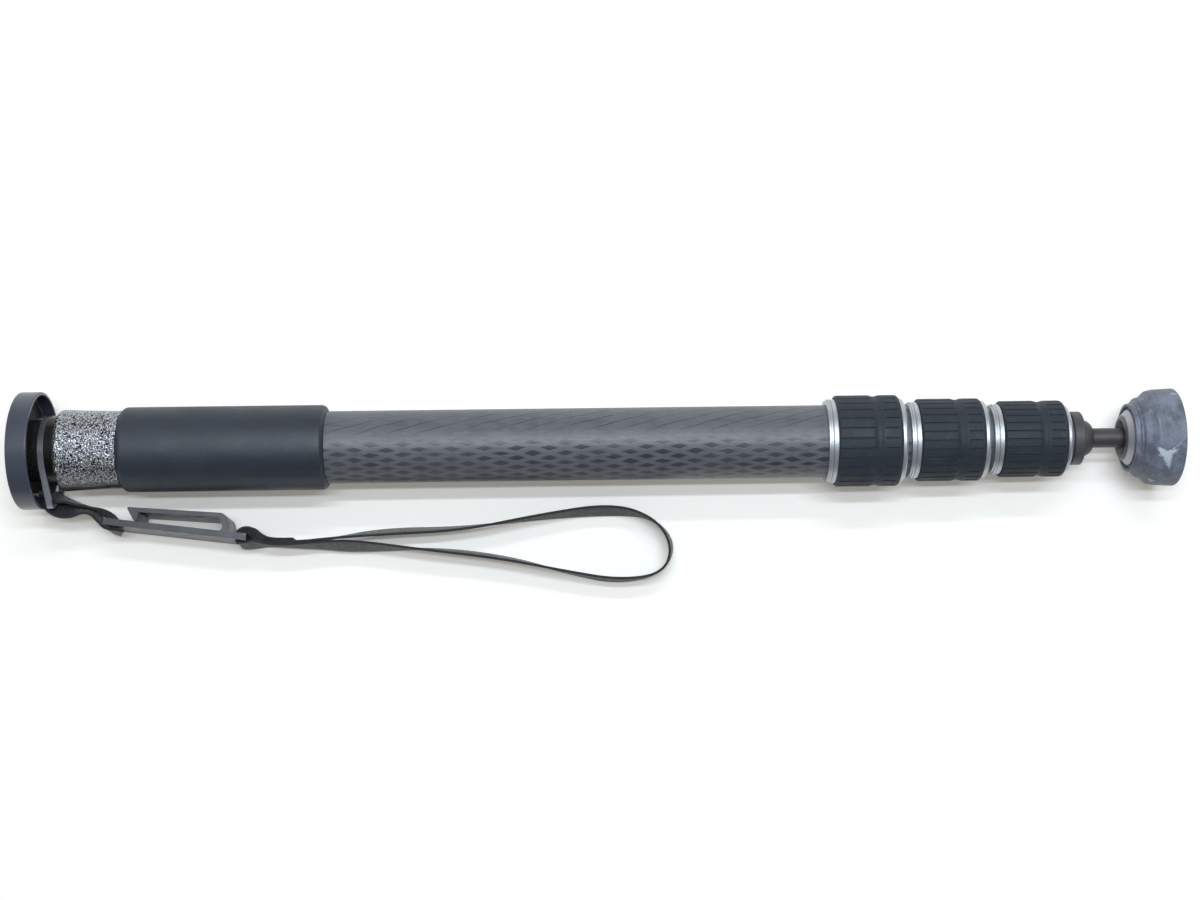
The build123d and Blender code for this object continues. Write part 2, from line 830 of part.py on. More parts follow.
# Hand each piece its name, tip the pole onto the floor and write the files
pole_pieces = {
    "camera_plate": camera_plate.part,
    "plate_pad": plate_pad.part,
    "plate_grub_screws": plate_grub_screws.part,
    "camera_screw": camera_screw.part,
    "plate_hub": plate_hub.part,
    "hub_grub_screw": hub_grub_screw.part,
    "top_casting": top_casting.part,
    "hand_grip": hand_grip.part,
    "strap_ring": strap_ring.part,
    "tip_plug": tip_plug.part,
    "foot_stem": foot_stem.part,
    "ball_ring": ball_ring.part,
    "ball_cup": ball_cup.part,
    "rubber_foot": rubber_foot.part,
}
for n in range(4):
    pole_pieces[f"leg_tube_{n + 1}"] = pipe(
        tube_starts[n], tube_ends[n], tube_radii[n] - tube_wall, tube_radii[n]
    )
for n in range(3):
    pole_pieces[f"lock_{n + 1}_collar"] = lock_collar(n)
    pole_pieces[f"lock_{n + 1}_wedge"] = lock_wedge(n)
    pole_pieces[f"lock_{n + 1}_sleeve"] = lock_sleeve(n)
    pole_pieces[f"lock_{n + 1}_grip"] = lock_grip(n)
    pole_pieces[f"lock_{n + 1}_seal"] = lock_seal(n)
    pole_pieces[f"glide_{n + 1}"] = glide(n)
strap_pieces = {
    "strap_clip": strap_clip.part,
    "strap_loop": strap_loop.part,
    "strap_tab": strap_tab.part,
}

os.makedirs("parts", exist_ok=True)
for name, piece in pole_pieces.items():
    placed = piece.moved(resting)
    placed.label = name
    export_step(placed, f"parts/{name}.step")
for name, piece in strap_pieces.items():
    piece.label = name
    export_step(piece, f"parts/{name}.step")
print("Slope, degrees:", round(rest_slope, 4), " floor z, mm:", round(floor_z, 4))
print("Foot end, mm:", foot_end, " ball, mm:", ball_x, " locks, mm:", lock_starts)
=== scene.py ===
import json
import math

import bmesh
import bpy
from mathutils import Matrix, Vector


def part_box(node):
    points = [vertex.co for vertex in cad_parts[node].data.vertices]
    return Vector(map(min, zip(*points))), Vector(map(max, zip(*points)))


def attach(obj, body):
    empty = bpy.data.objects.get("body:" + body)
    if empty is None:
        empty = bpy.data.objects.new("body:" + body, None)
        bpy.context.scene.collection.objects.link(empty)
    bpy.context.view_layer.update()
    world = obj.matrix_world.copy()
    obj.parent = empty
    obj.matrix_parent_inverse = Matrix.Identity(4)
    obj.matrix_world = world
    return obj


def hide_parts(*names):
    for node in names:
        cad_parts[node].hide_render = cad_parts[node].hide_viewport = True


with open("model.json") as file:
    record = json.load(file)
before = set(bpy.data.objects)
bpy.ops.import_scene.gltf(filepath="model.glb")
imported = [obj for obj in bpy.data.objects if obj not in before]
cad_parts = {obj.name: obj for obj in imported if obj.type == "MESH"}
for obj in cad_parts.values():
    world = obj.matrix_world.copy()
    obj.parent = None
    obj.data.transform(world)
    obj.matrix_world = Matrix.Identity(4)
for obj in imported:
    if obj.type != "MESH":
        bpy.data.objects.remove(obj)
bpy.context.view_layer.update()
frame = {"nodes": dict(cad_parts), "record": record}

# Lengths are in metres, in the row's frame. The pole lies along +X and dips by a fraction of a degree.
MOUNTS = {mount["name"]: mount for mount in frame["record"]["mounts"]}
SEAT_AXIS = MOUNTS["camera_seat"]["axis"]
POLE_DIP = math.atan2(SEAT_AXIS[2], -SEAT_AXIS[0])
FLOOR_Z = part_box("camera_plate")[0].z
TUBE_RADII = (0.0185, 0.0162, 0.0140, 0.0120)
LOCKS = (1, 2, 3)

# Camera, straight over the object and turned a little, as in the photograph
CAMERA_PLACE = (0.2946, -0.00306, 0.918)
CAMERA_TURN = -0.7
CAMERA_LENS = 54.0
CAMERA_SENSOR = 36.0
CAMERA_CLIP = 0.01

# Webbing, and how finely its lines are drawn
WEB_WIDTH = 0.016
WEB_THICKNESS = 0.0013
WEB_EDGE_STEPS = 3
RIB_PITCH = 0.0011
YARN_PITCH = 0.0009
WELD = 0.00001
CURVE_STEPS = 14
CURVE_ORDER = 3

scene = bpy.context.scene
scene.view_settings.view_transform = "Standard"


def link(thing):
    scene.collection.objects.link(thing)
    return thing


def make_camera():
    data = bpy.data.cameras.new("photo_camera")
    data.lens = CAMERA_LENS
    data.sensor_width = CAMERA_SENSOR
    data.clip_start = CAMERA_CLIP
    camera = link(bpy.data.objects.new("photo_camera", data))
    camera.location = CAMERA_PLACE
    camera.rotation_euler = (0, 0, math.radians(CAMERA_TURN))
    scene.camera = camera


make_camera()

# Most of a noise pattern's values lie between these two
NOISE_LOW = 0.3
NOISE_HIGH = 0.7


class Finish:
    """A material with one Principled shader, and short calls for the nodes that feed it."""

    def __init__(self, name, **numbers):
        self.material = bpy.data.materials.new(name)
        self.material.use_nodes = True
        self.tree = self.material.node_tree
        self.shader = self.tree.nodes["Principled BSDF"]
        for label, value in numbers.items():
            self.shader.inputs[label.replace("_", " ")].default_value = value

    def feed(self, socket, value):
        """Links value to a socket if it comes from a node, and else sets it."""
        if isinstance(value, bpy.types.NodeSocket):
            self.tree.links.new(value, socket)
        elif socket.type == "RGBA":
            socket.default_value = (*value, 1.0)
        else:
            socket.default_value = value

    def node(self, kind, settings, inputs, output=0):
        made = self.tree.nodes.new("ShaderNode" + kind)
        for label, value in settings.items():
            setattr(made, label, value)
        for label, value in inputs.items():
            self.feed(made.inputs[label], value)
        return made.outputs[output]

    def math(self, operation, *values, clamp=False):
        inputs = dict(enumerate(values))
        return self.node("Math", {"operation": operation, "use_clamp": clamp}, inputs)

    def vector(self, operation, *values):
        output = "Value" if operation in ("LENGTH", "DISTANCE", "DOT_PRODUCT") else "Vector"
        return self.node("VectorMath", {"operation": operation}, dict(enumerate(values)), output)

    def times(self, first, second):
        return self.math("MULTIPLY", first, second)

    def most(self, first, second):
        """The larger of two values, or the second if there is no first."""
        return second if first is None else self.math("MAXIMUM", first, second)

    def weigh(self, value, share, rest):
        """value times share, plus the rest."""
        return self.math("MULTIPLY_ADD", value, share, rest)

    def place(self):
        return self.node("TexCoord", {}, {}, "Object")

    def pole_place(self):
        """The point in the pole's own frame, with X along it."""
        inputs = {"Vector": self.place(), "Angle": -POLE_DIP}
        return self.node("VectorRotate", {"rotation_type": "Y_AXIS"}, inputs)

    def split(self, vector):
        made = self.tree.nodes.new("ShaderNodeSeparateXYZ")
        self.feed(made.inputs[0], vector)
        return made.outputs

    def join(self, x, y, z):
        return self.node("CombineXYZ", {}, {"X": x, "Y": y, "Z": z})

    def stored(self, name):
        return self.node("Attribute", {"attribute_name": name}, {}, "Fac")

    def noise(self, vector, scale, detail=2.0, roughness=0.5):
        inputs = {"Vector": vector, "Scale": scale, "Detail": detail, "Roughness": roughness}
        return self.node("TexNoise", {}, inputs, "Fac")

    def brushed(self, vector, along, across, detail=2.0, roughness=0.5):
        """Noise with one scale along the pole and another across it."""
        stretched = self.vector("MULTIPLY", vector, (along, across, across))
        return self.noise(stretched, 1.0, detail, roughness)

    def furrows(self, vector, scale):
        """The distance to the nearest edge between scattered cells."""
        inputs = {"Vector": vector, "Scale": scale}
        return self.node("TexVoronoi", {"feature": "DISTANCE_TO_EDGE"}, inputs, "Distance")

    def step(self, value, low, high, start=0.0, end=1.0):
        """Rises smoothly from start to end as value goes from low to high."""
        inputs = {"Value": value, "From Min": low, "From Max": high, "To Min": start, "To Max": end}
        return self.node("MapRange", {"interpolation_type": "SMOOTHSTEP"}, inputs)

    def spread(self, pattern, start, end):
        """Spreads the values of a noise pattern from start to end."""
        return self.step(pattern, NOISE_LOW, NOISE_HIGH, start, end)

    def blend(self, share, first, second):
        """The first colour at a share of 0, the second at 1."""
        made = self.tree.nodes.new("ShaderNodeMix")
        made.data_type = "RGBA"
        sockets = {socket.identifier: socket for socket in made.inputs}
        self.feed(sockets["Factor_Float"], share)
        self.feed(sockets["A_Color"], first)
        self.feed(sockets["B_Color"], second)
        return next(socket for socket in made.outputs if socket.identifier == "Result_Color")

    def colour(self, value):
        self.feed(self.shader.inputs["Base Color"], value)

    def roughness(self, value):
        self.feed(self.shader.inputs["Roughness"], value)

    def bump(self, *layers):
        """Each layer is a height and the distance in metres that a height of 1 stands for."""
        normal = None
        for height, distance in layers:
            inputs = {"Height": height, "Distance": distance, "Strength": 1.0}
            if normal is not None:
                inputs["Normal"] = normal
            normal = self.node("Bump", {}, inputs)
        self.feed(self.shader.inputs["Normal"], normal)


def pole_turn(finish, place):
    """The angle round the pole, from -pi to pi, 0 at the top and rising towards +Y."""
    parts = finish.split(place)
    return finish.math("ARCTAN2", parts["Y"], parts["Z"])


def from_axis(finish, place):
    """The distance from the pole's axis."""
    parts = finish.split(place)
    return finish.vector("LENGTH", finish.join(0.0, parts["Y"], parts["Z"]))


def turned_lines(finish, place, scale):
    """Fine lines round the pole, as a lathe leaves them."""
    along = finish.split(place)["X"]
    return finish.noise(finish.join(along, 0.0, 0.0), scale, detail=3.0)


# The recess inside the camera plate's rim, painted nearly black as painted shade: its radius, where it
# starts along the pole, and its soft edge
RECESS_RADIUS = 0.0268
RECESS_START = 0.0025
RECESS_EDGE = 0.0008


def anodised_black():
    """Satin black outside; within the plate's rim the inside is matt, and painted nearly black as painted
    shade.
    """
    finish = Finish("anodised_black", Specular_IOR_Level=0.5)
    place = finish.pole_place()
    lines = turned_lines(finish, place, 2600.0)
    cloud = finish.noise(place, 60.0, detail=4.0)
    inside = finish.step(from_axis(finish, place), RECESS_RADIUS, RECESS_RADIUS + RECESS_EDGE, 1.0, 0.0)
    behind = finish.step(finish.split(place)["X"], RECESS_START, RECESS_START + RECESS_EDGE)
    recess_shade = finish.times(inside, behind)
    outer = finish.blend(cloud, (0.044, 0.050, 0.074), (0.068, 0.075, 0.108))
    # Inside the rim the colour is painted nearly black: painted shade, not the anodising's own colour.
    finish.colour(finish.blend(recess_shade, outer, (0.002, 0.002, 0.003)))
    finish.roughness(finish.weigh(recess_shade, 0.4, finish.spread(lines, 0.28, 0.31)))
    finish.bump((lines, 0.000001), (finish.noise(place, 2400.0), 0.000006))
    return finish.material


# The casting's neck is painted dark up to its shoulder, a painted shade beside the plate. Round the pole,
# the light paint thins out over the first range of angles on the near side and over the second on the
# underside, a painted shade on the sides turned from the lamps.
SHOULDER_START = 0.0195
SHOULDER_END = 0.0215
NEAR_SHADE_FADE = (-1.12, -0.78)
UNDER_SHADE_FADE = (-2.8, -2.2)
PAINT_SCALE = 930.0
PAINT_PULL = 0.0022


def hammertone():
    """Hammered silver paint: light worm-like blobs with dark paint in the furrows between them."""
    finish = Finish("hammertone", Metallic=0.85, Coat_Weight=0.4, Coat_Roughness=0.10)
    place = finish.pole_place()
    drift = finish.node("TexNoise", {}, {"Vector": place, "Scale": 810.0, "Detail": 1.0}, "Color")
    centred = finish.vector("SUBTRACT", drift, (0.5,) * 3)
    pull = finish.vector("MULTIPLY", centred, (PAINT_PULL,) * 3)
    vein = finish.furrows(finish.vector("ADD", place, pull), PAINT_SCALE)
    blob = finish.step(vein, 0.07, 0.17)
    patch = finish.step(finish.noise(place, PAINT_SCALE, detail=1.0), 0.32, 0.46)
    turn = pole_turn(finish, place)
    # Thinning the light paint on the near side and the underside is painted shade.
    cover = finish.most(finish.step(turn, *NEAR_SHADE_FADE, 0.10, 1.0), finish.step(turn, *UNDER_SHADE_FADE, 1.0, 0.12))
    light = finish.times(finish.times(blob, patch), cover)
    # Keeping the neck dark up to the shoulder is painted shade beside the plate.
    past_neck_shade = finish.step(finish.split(place)["X"], SHOULDER_START, SHOULDER_END)
    finish.colour(finish.blend(finish.times(light, past_neck_shade), (0.005, 0.005, 0.007), (0.66, 0.69, 0.77)))
    finish.roughness(finish.step(light, 0.0, 1.0, 0.45, 0.30))
    finish.bump((finish.times(finish.step(vein, 0.0, 0.36), patch), 0.00011))
    return finish.material


def hub_black():
    finish = Finish("hub_black", Specular_IOR_Level=0.25, Roughness=0.45)
    vein = finish.furrows(finish.pole_place(), 900.0)
    finish.colour(finish.blend(finish.step(vein, 0.1, 0.3), (0.003, 0.003, 0.004), (0.013, 0.013, 0.015)))
    finish.bump((finish.step(vein, 0.0, 0.3), 0.0002))
    return finish.material


def grip_foam():
    finish = Finish("grip_foam", Specular_IOR_Level=0.5)
    place = finish.pole_place()
    grain = finish.noise(place, 1500.0, detail=3.0, roughness=0.6)
    cloud = finish.noise(place, 35.0, detail=4.0, roughness=0.6)
    rubbed = finish.step(finish.brushed(place, 30.0, 120.0, detail=4.0, roughness=0.6), 0.45, 0.75)
    tone = finish.weigh(rubbed, 0.35, finish.times(cloud, 0.65))
    finish.colour(finish.blend(tone, (0.018, 0.024, 0.036), (0.032, 0.043, 0.064)))
    finish.roughness(finish.spread(cloud, 0.44, 0.56))
    finish.bump((grain, 0.00007), (finish.noise(place, 160.0), 0.00012))
    return finish.material


# The carbon's crossed tows: their pitch along the pole, and how many lie round the widest tube. The gap
# and the seam between tows are shares of the pitch, with a soft edge. Round the pole, the diamonds weaken
# over the first range of angles, and the slanting seams show from the second: the weave's darkness is
# the tows' own, but this change round the pole is painted reflection of the lamps off the tows.
CARBON_PITCH = 0.0163
CARBON_LINES = 22
CARBON_DRIFT = 0.55
CARBON_GAP = 0.58
CARBON_GAP_EDGE = 0.06
CARBON_SEAM = 0.11
CARBON_SEAM_EDGE = 0.05
DIAMOND_REFLECTION_FADE = (-0.10, 0.25)
SEAM_REFLECTION_RISE = (0.20, 0.55)


def carbon(name, radius):
    """Crossed tows wound at a small angle to the pole; the gaps between them are dark diamonds."""
    finish = Finish(name, Specular_IOR_Level=0.45)
    place = finish.pole_place()
    turn = pole_turn(finish, place)
    lines = round(CARBON_LINES * radius / TUBE_RADII[0])
    drift = finish.brushed(place, 45.0, 90.0, detail=3.0, roughness=0.6)
    drifted = finish.weigh(drift, CARBON_DRIFT, finish.times(turn, lines / math.tau))
    along = finish.math("DIVIDE", finish.split(place)["X"], CARBON_PITCH)
    falling = finish.math("FRACT", finish.math("ADD", along, drifted))
    rising = finish.math("FRACT", finish.math("SUBTRACT", along, drifted))

    def gap(phase, width, edge):
        off = finish.math("ABSOLUTE", finish.math("SUBTRACT", phase, 0.5))
        return finish.step(off, width / 2 - edge, width / 2 + edge, 1.0, 0.0)

    uneven = finish.step(finish.brushed(place, 25.0, 70.0), 0.35, 0.62)
    falling_gap = gap(falling, CARBON_GAP, CARBON_GAP_EDGE)
    diamond = finish.times(falling_gap, gap(rising, CARBON_GAP, CARBON_GAP_EDGE))
    between = finish.math("FRACT", finish.math("ADD", rising, 0.5))
    seam = gap(between, CARBON_SEAM, CARBON_SEAM_EDGE)
    # How dark the diamonds and seams are changes round the pole: painted reflection, over the weave's own
    # tone.
    diamond_depth_and_reflection = finish.weigh(
        finish.step(turn, *DIAMOND_REFLECTION_FADE, 1.0, 0.0), finish.weigh(uneven, 0.26, 0.40), 0.06
    )
    seam_depth_and_reflection = finish.weigh(finish.step(turn, *SEAM_REFLECTION_RISE), finish.weigh(uneven, 0.36, 0.26), 0.05)
    fibres = finish.brushed(place, 90.0, 2200.0)
    cloud = finish.noise(place, 110.0, detail=3.0, roughness=0.6)
    tone = finish.math("SUBTRACT", 1.0, finish.times(diamond_depth_and_reflection, diamond))
    tone = finish.math("SUBTRACT", tone, finish.times(seam_depth_and_reflection, seam))
    tone = finish.times(tone, finish.step(fibres, 0.2, 0.8, 0.86, 1.10))
    tone = finish.times(tone, finish.spread(cloud, 0.84, 1.10))
    finish.colour(finish.blend(tone, (0.012, 0.013, 0.016), (0.120, 0.128, 0.150)))
    finish.roughness(finish.spread(fibres, 0.36, 0.48))
    ramp = finish.times(diamond, finish.math("SUBTRACT", falling, rising))
    finish.bump((ramp, 0.00010), (fibres, 0.00003))
    return finish.material


# The dark line round each lock's collar, a bump groove painted dark as painted shade: its distance from the
# collar's end, and its half width, sharp and soft
COLLAR_LINE = 0.0024
COLLAR_LINE_HALF = (0.00010, 0.00040)


def turned_silver():
    finish = Finish("turned_silver", Metallic=0.7, Specular_IOR_Level=0.5)
    place = finish.pole_place()
    along = finish.split(place)["X"]
    lines = turned_lines(finish, place, 1900.0)
    cloud = finish.noise(place, 140.0, detail=4.0, roughness=0.6)
    shaded_groove = None
    for number in LOCKS:
        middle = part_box(f"lock_{number}_collar")[0].x + COLLAR_LINE
        off = finish.math("ABSOLUTE", finish.math("SUBTRACT", along, middle))
        shaded_groove = finish.most(shaded_groove, finish.step(off, *COLLAR_LINE_HALF, 1.0, 0.0))
    base = finish.blend(cloud, (0.42, 0.45, 0.49), (0.54, 0.57, 0.62))
    # The groove's dark colour is painted shade in it.
    finish.colour(finish.blend(finish.times(shaded_groove, 0.55), base, (0.08, 0.08, 0.09)))
    finish.roughness(finish.spread(lines, 0.36, 0.46))
    finish.bump((lines, 0.000004), (cloud, 0.00001), (shaded_groove, -0.00012))
    return finish.material


# The mouth of the foot's ring, painted dark as painted shade: its radius and its soft edge
RING_MOUTH = 0.0112
RING_MOUTH_EDGE = 0.0006


def satin_silver():
    """The foot's ring: paler and flatter than the locks' rings."""
    finish = Finish("satin_silver", Metallic=0.55, Specular_IOR_Level=0.5)
    place = finish.pole_place()
    cloud = finish.noise(place, 180.0, detail=4.0, roughness=0.6)
    mouth_shade = finish.step(from_axis(finish, place), RING_MOUTH, RING_MOUTH + RING_MOUTH_EDGE, 0.85, 0.0)
    base = finish.blend(cloud, (0.32, 0.325, 0.375), (0.45, 0.455, 0.52))
    # The dark colour inside the mouth is painted shade.
    finish.colour(finish.blend(mouth_shade, base, (0.062, 0.059, 0.064)))
    finish.roughness(finish.spread(cloud, 0.34, 0.48))
    finish.bump((finish.noise(place, 900.0), 0.00002))
    return finish.material


def lock_rubber():
    finish = Finish("lock_rubber", Specular_IOR_Level=0.28)
    place = finish.pole_place()
    cloud = finish.noise(place, 70.0, detail=5.0, roughness=0.65)
    rubbed = finish.step(finish.noise(place, 260.0, detail=4.0, roughness=0.7), 0.52, 0.72)
    base = finish.blend(cloud, (0.018, 0.024, 0.034), (0.031, 0.040, 0.054))
    finish.colour(finish.blend(finish.times(rubbed, 0.35), base, (0.060, 0.068, 0.085)))
    finish.roughness(finish.spread(cloud, 0.52, 0.66))
    finish.bump((finish.noise(place, 1300.0), 0.00005))
    return finish.material


# The strap's ring is painted bright between these two values of Y, fully at the first: a painted reflection
REFLECTION_BRIGHT_Y = -0.016
REFLECTION_DARK_Y = 0.004


def ring_steel():
    """Dark blued steel, painted bright towards the -Y side, where the bar is, as a painted reflection."""
    finish = Finish("ring_steel", Metallic=0.5, Specular_IOR_Level=0.6)
    place = finish.pole_place()
    cloud = finish.noise(place, 220.0, detail=4.0, roughness=0.6)
    wear_and_reflection = finish.step(finish.split(place)["Y"], REFLECTION_BRIGHT_Y, REFLECTION_DARK_Y, 1.0, 0.0)
    blued = finish.blend(cloud, (0.055, 0.060, 0.064), (0.090, 0.095, 0.10))
    painted_reflection_tone = finish.blend(cloud, (0.30, 0.32, 0.38), (0.42, 0.44, 0.51))
    # The bright colour towards -Y is a painted reflection.
    finish.colour(finish.blend(wear_and_reflection, blued, painted_reflection_tone))
    finish.roughness(finish.spread(cloud, 0.28, 0.40))
    finish.bump((finish.noise(place, 900.0), 0.00002))
    return finish.material


def plain_steel():
    finish = Finish("plain_steel", Metallic=1.0)
    cloud = finish.noise(finish.place(), 400.0, detail=4.0, roughness=0.6)
    finish.colour(finish.blend(cloud, (0.40, 0.39, 0.37), (0.62, 0.61, 0.58)))
    finish.roughness(finish.spread(cloud, 0.25, 0.40))
    finish.bump((cloud, 0.00002))
    return finish.material


def stem_metal():
    finish = Finish("stem_metal", Metallic=0.3, Specular_IOR_Level=0.5)
    place = finish.pole_place()
    lines = turned_lines(finish, place, 1500.0)
    cloud = finish.noise(place, 150.0, detail=4.0, roughness=0.6)
    finish.colour(finish.blend(cloud, (0.050, 0.045, 0.050), (0.085, 0.078, 0.085)))
    finish.roughness(finish.spread(lines, 0.44, 0.54))
    finish.bump((lines, 0.00002))
    return finish.material


def dark_plug():
    finish = Finish("dark_plug", Specular_IOR_Level=0.5)
    place = finish.pole_place()
    cloud = finish.noise(place, 110.0, detail=4.0, roughness=0.6)
    finish.colour(finish.blend(cloud, (0.040, 0.040, 0.042), (0.075, 0.075, 0.078)))
    finish.roughness(finish.spread(cloud, 0.38, 0.52))
    finish.bump((finish.noise(place, 1400.0), 0.00003))
    return finish.material


def shaded_cup_brown():
    """The socket behind the foot's ring, painted dark brown as painted shade inside it."""
    finish = Finish("shaded_cup_brown", Specular_IOR_Level=0.4)
    place = finish.pole_place()
    cloud = finish.noise(place, 140.0, detail=4.0, roughness=0.6)
    # The dark brown is painted shade in the socket.
    finish.colour(finish.blend(cloud, (0.026, 0.021, 0.018), (0.050, 0.042, 0.036)))
    finish.roughness(finish.spread(cloud, 0.45, 0.60))
    finish.bump((finish.noise(place, 1400.0), 0.00003))
    return finish.material


def soft_rubber():
    finish = Finish("soft_rubber", Specular_IOR_Level=0.35)
    place = finish.place()
    cloud = finish.noise(place, 250.0, detail=4.0)
    finish.colour(finish.blend(cloud, (0.018, 0.018, 0.018), (0.034, 0.034, 0.034)))
    finish.roughness(finish.spread(cloud, 0.65, 0.80))
    finish.bump((finish.noise(place, 900.0), 0.00006))
    return finish.material


def natural_nylon():
    finish = Finish("natural_nylon", Specular_IOR_Level=0.4)
    place = finish.place()
    cloud = finish.noise(place, 180.0, detail=3.0)
    finish.colour(finish.blend(cloud, (0.62, 0.60, 0.53), (0.74, 0.72, 0.66)))
    finish.roughness(finish.spread(cloud, 0.40, 0.52))
    finish.bump((finish.noise(place, 1200.0), 0.00002))
    return finish.material


# Scuffs on the foot: strokes between two points in the pole's frame, with the half width at each end.
# Their outline wanders by up to half of STROKE_RAGGED and fades over STROKE_EDGE.
STROKES = (
    ((0.5782, -0.0091, 0.0227), (0.5730, -0.0055, 0.0232), 0.0022, 0.0009),
    ((0.5782, -0.0091, 0.0227), (0.5737, -0.0090, 0.0223), 0.0016, 0.0005),
    ((0.5786, -0.0084, 0.0230), (0.5832, -0.0062, 0.0237), 0.0021, 0.0004),
    ((0.5788, -0.0082, 0.0231), (0.5859, -0.0014, 0.0246), 0.0008, 0.0002),
    ((0.5784, -0.0094, 0.0226), (0.5801, -0.0150, 0.0193), 0.0024, 0.0006),
    ((0.5746, -0.0212, 0.0080), (0.5754, -0.0208, 0.0092), 0.0016, 0.0013),
    ((0.5850, 0.0218, 0.0114), (0.5857, 0.0214, 0.0121), 0.0008, 0.0006),
    ((0.5800, 0.0100, -0.0225), (0.5770, 0.0060, -0.0236), 0.0022, 0.0008),
    ((0.5740, -0.0120, -0.0212), (0.5700, -0.0150, -0.0185), 0.0016, 0.0006),
)
STROKE_RAGGED = 0.0042
STROKE_EDGE = (-0.0007, 0.0004)


def scuffs(finish, place):
    """1 on the strokes, and 0 away from them."""
    rough = finish.noise(place, 1100.0, detail=5.0, roughness=0.85)
    ragged = finish.times(finish.math("SUBTRACT", rough, 0.5), STROKE_RAGGED)
    scuffed = None
    for first, second, wide, narrow in STROKES:
        run = Vector(second) - Vector(first)
        reach = finish.vector("SUBTRACT", place, first)
        part = finish.vector("DOT_PRODUCT", reach, tuple(run / run.length_squared))
        part = finish.math("ADD", part, 0.0, clamp=True)
        nearest = finish.vector("SCALE", tuple(run))
        finish.feed(nearest.node.inputs["Scale"], part)
        off = finish.math("ADD", finish.vector("DISTANCE", reach, nearest), ragged)
        width = finish.weigh(part, narrow - wide, wide)
        mark = finish.step(finish.math("SUBTRACT", off, width), *STROKE_EDGE, 1.0, 0.0)
        scuffed = finish.most(scuffed, mark)
    return scuffed


def foot_rubber():
    """Blue-grey rubber with a pale bloom, fine scratches round it and a few scuffed patches."""
    finish = Finish("foot_rubber", Specular_IOR_Level=0.35)
    place = finish.pole_place()
    scuffed = scuffs(finish, place)
    brushed = finish.brushed(place, 380.0, 110.0, detail=4.0, roughness=0.65)
    streaks = finish.brushed(place, 1500.0, 110.0, detail=3.0, roughness=0.6)
    bloom = finish.noise(place, 42.0, detail=3.0, roughness=0.6)
    mottle = finish.step(finish.noise(place, 95.0, detail=6.0, roughness=0.72), 0.38, 0.62)
    speck = finish.step(finish.noise(place, 620.0, detail=4.0, roughness=0.7), 0.60, 0.70)
    scratch = finish.times(finish.step(streaks, 0.56, 0.68), finish.step(bloom, 0.46, 0.58))
    tone = finish.weigh(finish.step(brushed, 0.35, 0.65), 0.22, finish.times(mottle, 0.78))
    base = finish.blend(tone, (0.088, 0.101, 0.138), (0.205, 0.230, 0.305))
    wear_and_reflection = finish.most(finish.times(scratch, 0.35), finish.times(speck, 0.30))
    base = finish.blend(wear_and_reflection, base, (0.40, 0.44, 0.54))
    dust = finish.noise(place, 1500.0, detail=4.0, roughness=0.8)
    cover = finish.times(scuffed, finish.spread(dust, 0.55, 0.98))
    finish.colour(finish.blend(cover, base, (0.58, 0.65, 0.74)))
    finish.roughness(finish.step(mottle, 0.0, 1.0, 0.44, 0.62))
    finish.bump((scuffed, 0.00006), (finish.noise(place, 1300.0), 0.00004), (brushed, 0.00005))
    return finish.material


def clip_plastic():
    finish = Finish("clip_plastic", Specular_IOR_Level=0.56)
    place = finish.place()
    cloud = finish.noise(place, 160.0, detail=4.0, roughness=0.6)
    finish.colour(finish.blend(cloud, (0.006, 0.008, 0.015), (0.014, 0.017, 0.028)))
    finish.roughness(finish.spread(cloud, 0.32, 0.44))
    finish.bump((finish.noise(place, 2200.0), 0.00003), (cloud, 0.00005))
    return finish.material


def webbing():
    """Plain woven tape: ribs across, and yarns along, from the piece's own lengths along and across."""
    finish = Finish("webbing", Specular_IOR_Level=0.35, Sheen_Weight=0.2, Sheen_Roughness=0.45)
    rib = finish.math("SINE", finish.times(finish.stored("along"), math.tau / RIB_PITCH))
    yarn = finish.math("SINE", finish.times(finish.stored("across"), math.tau / YARN_PITCH))
    weave = finish.times(rib, yarn)
    cloud = finish.noise(finish.place(), 300.0, detail=4.0, roughness=0.6)
    tone = finish.weigh(weave, 0.25, cloud)
    finish.colour(finish.blend(tone, (0.010, 0.011, 0.013), (0.032, 0.034, 0.038)))
    finish.roughness(finish.spread(cloud, 0.55, 0.72))
    finish.bump((finish.weigh(weave, 0.5, rib), 0.00008))
    return finish.material


def smooth_line(points):
    """Points along the smooth curve that a list of control points pulls."""
    data = bpy.data.curves.new("line", "CURVE")
    data.dimensions = "3D"
    data.resolution_u = CURVE_STEPS
    spline = data.splines.new("NURBS")
    spline.points.add(len(points) - 1)
    for point, place in zip(spline.points, points):
        point.co = (*place, 1.0)
    spline.order_u = CURVE_ORDER
    spline.use_endpoint_u = True
    carrier = link(bpy.data.objects.new("line", data))
    mesh = bpy.data.meshes.new_from_object(carrier)
    line = [vertex.co.copy() for vertex in mesh.vertices]
    bpy.data.objects.remove(carrier)
    bpy.data.meshes.remove(mesh)
    return line


def tape_section():
    """The tape's outline, as (across, out) points: two flat faces and two rounded edges."""
    radius = WEB_THICKNESS / 2
    flat = WEB_WIDTH / 2 - radius
    outline = []
    for side in (1, -1):
        for step in range(WEB_EDGE_STEPS * 2 + 1):
            turn = math.pi * step / (WEB_EDGE_STEPS * 2)
            outline.append((side * (flat + radius * math.sin(turn)), side * radius * math.cos(turn)))
        for step in range(1, WEB_EDGE_STEPS):
            outline.append((side * flat * (1 - 2 * step / WEB_EDGE_STEPS), -side * radius))
    return outline


